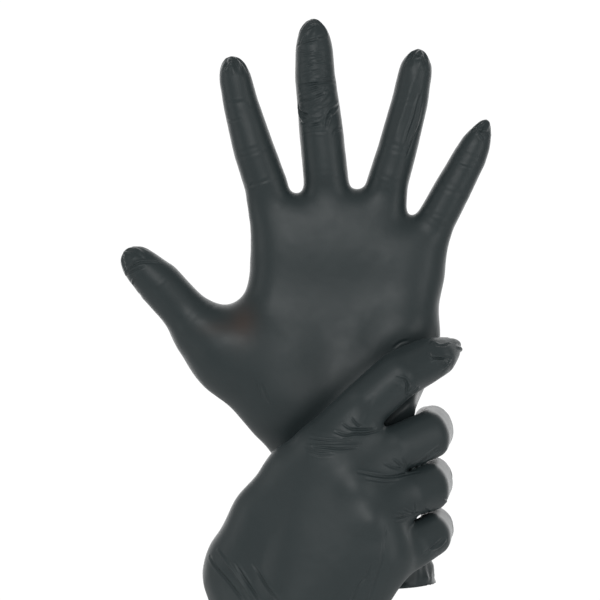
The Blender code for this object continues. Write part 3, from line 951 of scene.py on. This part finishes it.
# Folds seen from the front: kind, height, width and places (x, z).
LEFT_FOLDS = [
    ("step", 0.35, 0.8, (-21.5, 261), (-26, 259), (-29, 255.5), (-31, 251.5)),
    ("crease", 0.35, 1, (-32, 251), (-27, 253), (-23, 254), (-18, 256.5)),
    ("ridge", 0.3, 0.8, (-26, 262), (-21.5, 261)),
    ("crease", 0.3, 0.8, (-29, 236.5), (-25, 238), (-21.5, 239.5)),
    ("crease", 0.45, 0.9, (-31, 232.5), (-22, 233.5), (-13.5, 234.5)),
    ("crease", 0.2, 0.8, (-29.5, 235.5), (-22, 235.5), (-16, 236.5)),
    ("crease", 0.25, 0.8, (-27.5, 230.5), (-21, 231.5), (-13.5, 232)),
    ("crease", 0.4, 0.9, (-31, 225), (-26, 226), (-21, 228), (-17.5, 231)),
    ("ridge", 0.6, 0.9, (-32, 224.5), (-31.5, 221), (-30.5, 218), (-28.5, 215.5)),
    ("crease", 0.5, 0.9, (-31.5, 221.5), (-29, 219.5), (-26, 218.5)),
    ("ridge", 0.55, 1, (-12, 225.5), (-16, 222), (-18.5, 217), (-19, 212)),
    ("step", 0.5, 0.9, (-12, 223), (-14.5, 220), (-16.5, 216), (-18, 211.5)),
    ("step", 0.5, 0.8, (-10.5, 213), (-13, 211.5), (-14.5, 209.5)),
    ("ridge", 0.35, 1.6, (-21.5, 223.5), (-18.5, 227.5), (-16, 231)),
    ("crease", 0.15, 0.8, (-25, 214.5), (-21, 214.5), (-17.5, 214.5)),
    ("crease", 0.15, 0.8, (-29.5, 210), (-24, 210.5), (-17.5, 210.5)),
    ("ridge", 0.4, 0.9, (18, 204), (19.5, 210), (22, 217), (24, 224.5), (26, 230)),
    ("ridge", 0.35, 1.5, (21, 205), (23, 211), (25.5, 217.5), (27, 226.5)),
    ("ridge", 0.35, 2.2, (14, 208), (15.5, 213.5), (18, 220.5), (21, 230), (24, 237)),
    ("step", 0.45, 1, (19.5, 200), (23, 209), (25.5, 213.5)),
    ("step", 0.4, 0.8, (19, 244), (22, 247), (24.5, 248), (26, 246)),
    ("ridge", 0.45, 0.9, (23.5, 245.5), (27, 246), (30, 244)),
    ("ridge", 0.35, 0.8, (50, 213), (53, 214), (56, 215.5)),
    ("crease", 0.4, 0.8, (53.5, 212.5), (55.5, 211), (57.5, 210.5)),
    ("ridge", 0.3, 1, (52.5, 211), (54.5, 208.5), (55.5, 206.5)),
    ("step", 0.6, 0.9, (-112.5, 143.5), (-109.5, 147.5), (-105, 150), (-100.5, 150.5), (-95.5, 150)),
    ("crease", 0.5, 0.9, (-112, 143.5), (-107.5, 146), (-102.5, 148)),
    ("ridge", 0.4, 0.9, (-114, 150.5), (-113.5, 153.5), (-111.5, 155), (-107.5, 155)),
    ("crease", 0.4, 0.9, (-108.5, 157), (-105.5, 155.5), (-103.5, 154)),
    ("ridge", 0.45, 0.8, (-109, 139.5), (-108, 142), (-106, 143.5)),
    ("ridge", 0.25, 1, (-112.5, 146), (-110.5, 150), (-107, 152.5)),
    ("crease", 0.35, 1.1, (-48, 93.5), (-46, 88), (-44, 84.5)),
    ("crease", 0.2, 0.9, (-51, 95), (-49.5, 91.5), (-48, 87.5)),
    ("crease", 0.25, 1, (13, 110.5), (16.5, 113), (20.5, 114)),
    ("crease", 0.2, 1, (14.5, 107.5), (18, 109.5), (21, 110.5)),
    ("crease", 0.15, 0.9, (-66.5, 216.5), (-62, 216), (-58, 217)),
    ("crease", 0.18, 1.1, (-57, 185.5), (-51, 186.5), (-45, 188.5)),
    ("ridge", 0.35, 0.9, (-66, 239), (-64, 242.5), (-60, 243.5)),
    ("step", 0.25, 0.9, (-58.5, 244.5), (-57, 242), (-55.5, 238)),
    ("crease", 0.15, 0.9, (42, 196.5), (46, 195), (50, 194)),
]
RIGHT_FOLDS = [
    ("crease", 0.35, 0.8, (-26, 71), (-20, 70), (-14, 69.5), (-7.5, 70)),
    ("crease", 0.3, 0.8, (-27, 68.5), (-21, 68.5), (-14, 68.5), (-3, 68.5)),
    ("crease", 0.4, 0.8, (-24.5, 67), (-18.5, 66.5), (-12, 66), (-5, 66.5)),
    ("crease", 0.25, 0.8, (-28, 66.5), (-22.5, 65), (-16, 64.5)),
    ("crease", 0.2, 0.8, (-27, 64.5), (-21.5, 63), (-15.5, 63)),
    ("crease", 0.5, 0.8, (-11, 77), (-8, 75), (-4.5, 74.5), (-0.5, 74.5), (4, 74.5)),
    ("crease", 0.5, 0.8, (-14.5, 73.5), (-10, 72), (-5.5, 72.5), (-0.5, 72.5), (7, 74)),
    ("crease", 0.35, 0.8, (-7, 79.5), (-5, 77), (-2, 75)),
    ("crease", 0.15, 1.6, (2, 88), (-0.5, 83.5), (-2, 79)),
    ("crease", 0.5, 1, (-4, 55.5), (4, 54), (11, 53), (18.5, 54), (24, 55)),
    ("crease", 0.25, 0.9, (-0.5, 52.5), (7, 51.5), (14, 51.5)),
    ("crease", 0.35, 0.9, (8, 59), (12.5, 57), (17, 56)),
    ("crease", 0.3, 0.9, (12, 61), (14.5, 59), (17, 56.5)),
    ("crease", 0.3, 0.9, (16.5, 61), (17.5, 59), (18, 56.5)),
    ("crease", 0.45, 0.9, (11.5, 36), (17, 35.5), (24, 36)),
    ("crease", 0.35, 0.8, (17, 39), (19, 37.5), (21.5, 36)),
    ("crease", 0.35, 0.8, (22, 40.5), (22, 38), (22, 36)),
    ("crease", 0.25, 0.8, (12, 33.5), (17, 34), (21.5, 35)),
    ("crease", 0.25, 0.8, (13.5, 38), (17, 37), (20, 36)),
    ("crease", 0.22, 0.9, (8, 32), (6.5, 23.5), (5.5, 16), (3, 7.5), (0.5, -1.5)),
    ("crease", 0.28, 0.9, (1, 15.5), (-1, 10), (-4.5, 5.5), (-8, -2)),
    ("step", 0.75, 1, (14, 98), (17, 97), (18.5, 94.5), (18.5, 92), (18, 89)),
    ("ridge", 0.2, 1.2, (13, 95), (15, 94), (16.5, 92)),
    ("ridge", 0.55, 0.8, (18.5, 90), (20.5, 92), (22.5, 93)),
    ("ridge", 0.5, 0.8, (20, 89.5), (22.5, 91.5), (24, 93)),
    ("crease", 0.5, 0.8, (28.5, 109.5), (30, 107), (33.5, 106), (36.5, 106.5), (39, 106)),
    ("ridge", 0.5, 0.9, (30, 105), (33.5, 105), (38, 104)),
    ("crease", 0.4, 0.8, (32.5, 112), (36, 112), (38.5, 113)),
    ("ridge", 0.4, 0.9, (29.5, 113), (31, 114), (33, 113)),
    ("ridge", 0.5, 0.8, (34, 100.5), (37, 102.5), (39, 105)),
    ("step", 0.6, 0.9, (20, 57), (24.5, 59.5), (28.5, 62.5), (34, 66)),
    ("ridge", 0.5, 0.9, (25.5, 58), (29.5, 60.5), (34, 63.5)),
    ("step", 0.5, 0.9, (27, 38), (31.5, 40), (35, 42.5)),
    ("ridge", 0.55, 0.9, (29.5, 19.5), (33, 20.5), (36.5, 23)),
    ("step", 0.35, 0.9, (25.5, 18), (29.5, 21), (34, 24)),
    ("crease", 0.55, 1.0, (-71.5, 16), (-65, 8), (-56, -2)),
    ("crease", 0.5, 0.9, (-59.5, 14), (-55, 7), (-48.5, -1.5)),
    ("crease", 0.4, 0.9, (-51.5, 14), (-46.5, 6.5), (-39.5, -2)),
    ("ridge", 0.5, 1.2, (-68, 19.5), (-61, 11), (-52.5, -1)),
]


def film_unevenness(skin, seed):
    """Slow waves and small dents that a thin film has all over."""
    for k, (height, size) in enumerate(UNEVENNESS):
        skin["lift"] += height * lattice_noise(skin["flat"], size, seed + k)


def cuff_waves(glove, skin, seed):
    """Slack film above the rolled edge. It dies out at the edge itself."""
    p = skin["flat"]
    height = p[:, 2] - glove.sleeve[1][2]
    bump(skin, height - 9, 1.6, 5.5)  # the film bulges over the edge that holds it
    near = np.clip(height / 2.5, 0, 1) * np.exp(-np.clip(height, 0, None) / 16)
    stretched = p * vec(1, 1, 0.35)
    skin["lift"] += near * (1.7 * lattice_noise(stretched, 6.0, seed) + 0.9 * lattice_noise(p, 3.2, seed + 1))


def listed_folds(glove, skin, folds):
    """The folds of a table, laid on the skin that is seen from the front."""
    for kind, height, width, *places in folds:
        height *= FOLD_HEIGHT[glove.name]
        press_fold(skin, drop_on_front(skin, places), height, FOLD_WIDTH * width, kind, fine=True)


def left_wrinkles(glove, skin):
    rng = np.random.default_rng(11)
    held = np.clip(RIGHT.distance(skin["verts"]), 0, None)
    bump(skin, held, -2.0, 5.0)  # the holding hand presses the film in around itself
    x, z = skin["flat"][:, 0], skin["flat"][:, 2]
    bump(skin, z - 47, 3.5 * np.clip((x - 5) / 13, 0, 1), 16)  # slack in the hollow of the holding fingers
    film_unevenness(skin, 21)
    cuff_waves(glove, skin, 31)
    listed_folds(glove, skin, LEFT_FOLDS)
    for finger in glove.fingers:
        for i in range(2, len(finger.sections) + 1):
            ring_of_folds(skin, finger, i, -finger.palm_side, (-3.0, -1.2, 0.6, 2.4, 4.2), rng, 0.4, 0.9)
            ring_of_folds(skin, finger, i, finger.palm_side, (-0.8, 1.2), rng, 0.12, 0.9)
        ring_of_folds(skin, finger, 1, finger.palm_side, (0.0, 2.6), rng, 0.1, 1.0)
    fine_creases(skin, glove.fingers[1], 8.0, 54.0, 34, rng)
    for finger, peak in zip(glove.fingers, (0.3, 0.2, 0.4, 1.6, 0.4)):
        pucker_tip(skin, finger, rng, peak=peak)


def right_wrinkles(glove, skin):
    rng = np.random.default_rng(12)
    film_unevenness(skin, 41)
    cuff_waves(glove, skin, 51)
    listed_folds(glove, skin, RIGHT_FOLDS)
    for finger in glove.fingers:
        for i in range(2, len(finger.sections) + 1):
            ring_of_folds(skin, finger, i, finger.palm_side, (-2.0, 0.0, 2.0), rng, 0.6, 0.9)
        pucker_tip(skin, finger, rng, height=0.45)
    for finger in glove.fingers[1:4]:
        knuckle = finger.points[0] + vec(-1, -9, 1)
        bump(skin, np.linalg.norm(skin["verts"] - knuckle, axis=1), 1.6, 7.0)


WRINKLES = {"left": left_wrinkles, "right": right_wrinkles}


# ---- materials


def node(tree, kind, **inputs):
    made = tree.nodes.new(kind)
    for key, value in inputs.items():
        made.inputs[key.replace("_", " ")].default_value = value
    return made


def attribute(tree, name):
    made = tree.nodes.new("ShaderNodeAttribute")
    made.attribute_name = name
    return made


def noise(tree, place, **inputs):
    """The strength of a noise that keeps its place on the film when the film bends."""
    made = node(tree, "ShaderNodeTexNoise", **inputs)
    tree.links.new(place.outputs["Vector"], made.inputs["Vector"])
    return made.outputs["Fac"]


def colour_mix(tree, factor, first, second):
    """A mix of two colours. The first one is a colour or a socket."""
    made = tree.nodes.new("ShaderNodeMix")
    made.data_type = "RGBA"
    tree.links.new(factor, made.inputs[0])
    if isinstance(first, tuple):
        made.inputs[6].default_value = first
    else:
        tree.links.new(first, made.inputs[6])
    made.inputs[7].default_value = second
    return made.outputs[2]


def film_material(name, light, dark):
    """Matte nitrile: faint clouds of tone, a soft uneven gloss and a fine grain."""
    material = bpy.data.materials.new(name)
    material.use_nodes = True
    tree = material.node_tree
    shader = tree.nodes["Principled BSDF"]
    shader.inputs["IOR"].default_value = 1.5
    shader.inputs["Metallic"].default_value = 0.0
    place = attribute(tree, "rest")
    clouds = noise(tree, place, Scale=38.0, Detail=4.0, Roughness=0.55)
    tone = colour_mix(tree, clouds, dark, light)
    tone = colour_mix(tree, attribute(tree, "thin").outputs["Fac"], tone, STRETCHED)
    tree.links.new(tone, shader.inputs["Base Color"])
    gloss = node(tree, "ShaderNodeMapRange", To_Min=0.38, To_Max=0.50)
    tree.links.new(noise(tree, place, Scale=160.0, Detail=3.0), gloss.inputs["Value"])
    tree.links.new(gloss.outputs["Result"], shader.inputs["Roughness"])
    grain = node(tree, "ShaderNodeBump", Strength=0.12, Distance=0.0001)
    tree.links.new(noise(tree, place, Scale=2200.0, Detail=3.0, Roughness=0.6), grain.inputs["Height"])
    tree.links.new(grain.outputs["Normal"], shader.inputs["Normal"])
    return material


# ---- studio


def make_light(name, place, size, power):
    lamp = bpy.data.lights.new(name, "AREA")
    lamp.shape = "RECTANGLE"
    lamp.size, lamp.size_y = size
    lamp.energy = power
    obj = stand(name, lamp, place)
    obj.rotation_euler = (Vector(LIT) - obj.location).to_track_quat("-Z", "Y").to_euler()


def make_camera():
    lens = bpy.data.cameras.new("camera")
    lens.sensor_width = 36.0
    lens.lens = LENS
    camera = stand("camera", lens, CAMERA)
    camera.rotation_euler = (math.radians(90), 0, 0)
    bpy.context.scene.camera = camera


def make_world():
    """Soft light that grows away from the camera. The camera itself sees plain white."""
    world = bpy.data.worlds.new("studio")
    world.use_nodes = True
    bpy.context.scene.world = world
    tree = world.node_tree
    background = tree.nodes["Background"]
    background.inputs["Color"].default_value = (1, 1, 1, 1)
    direction = tree.nodes.new("ShaderNodeTexCoord")
    split = tree.nodes.new("ShaderNodeSeparateXYZ")
    tree.links.new(direction.outputs["Generated"], split.inputs["Vector"])
    ramp = node(tree, "ShaderNodeMapRange", From_Min=0.42, From_Max=0.85, To_Min=0.3, To_Max=2.1)
    tree.links.new(split.outputs["Y"], ramp.inputs["Value"])
    seen = tree.nodes.new("ShaderNodeLightPath")
    choice = tree.nodes.new("ShaderNodeMix")
    choice.inputs[3].default_value = BACKDROP
    tree.links.new(seen.outputs["Is Camera Ray"], choice.inputs[0])
    tree.links.new(ramp.outputs["Result"], choice.inputs[2])
    tree.links.new(choice.outputs[0], background.inputs["Strength"])


def make_floor():
    """A round pale floor below the part."""
    mesh = bpy.data.meshes.new("floor")
    angles = [2 * math.pi * k / FLOOR_SIDES for k in range(FLOOR_SIDES)]
    low = cad_box[0][2] - FLOOR_GAP
    rim = [(FLOOR_RADIUS * math.cos(a), FLOOR_RADIUS * math.sin(a), low) for a in angles]
    mesh.from_pydata(rim, [], [tuple(range(FLOOR_SIDES))])
    floor = stand("floor", mesh)
    paint = bpy.data.materials.new("floor")
    paint.use_nodes = True
    shader = paint.node_tree.nodes["Principled BSDF"]
    shader.inputs["Base Color"].default_value = (0.85, 0.85, 0.85, 1)
    shader.inputs["Roughness"].default_value = 0.8
    mesh.materials.append(paint)
    floor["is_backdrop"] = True


def make_studio():
    bpy.context.scene.view_settings.view_transform = "Standard"
    make_camera()
    make_world()
    for name, facts in LIGHTS.items():
        make_light(name, *facts)
    make_floor()


make_studio()
film = film_material("nitrile_film", *FILM_COLOURS)
edge = film_material("nitrile_rolled_edge", *EDGE_COLOURS)
for one in (LEFT, RIGHT):
    make_glove(one, film, edge)

boxes = {"cad": cad_box, "visual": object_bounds()}
{k: [[float(x) for x in corner] for corner in b] for k, b in boxes.items()}
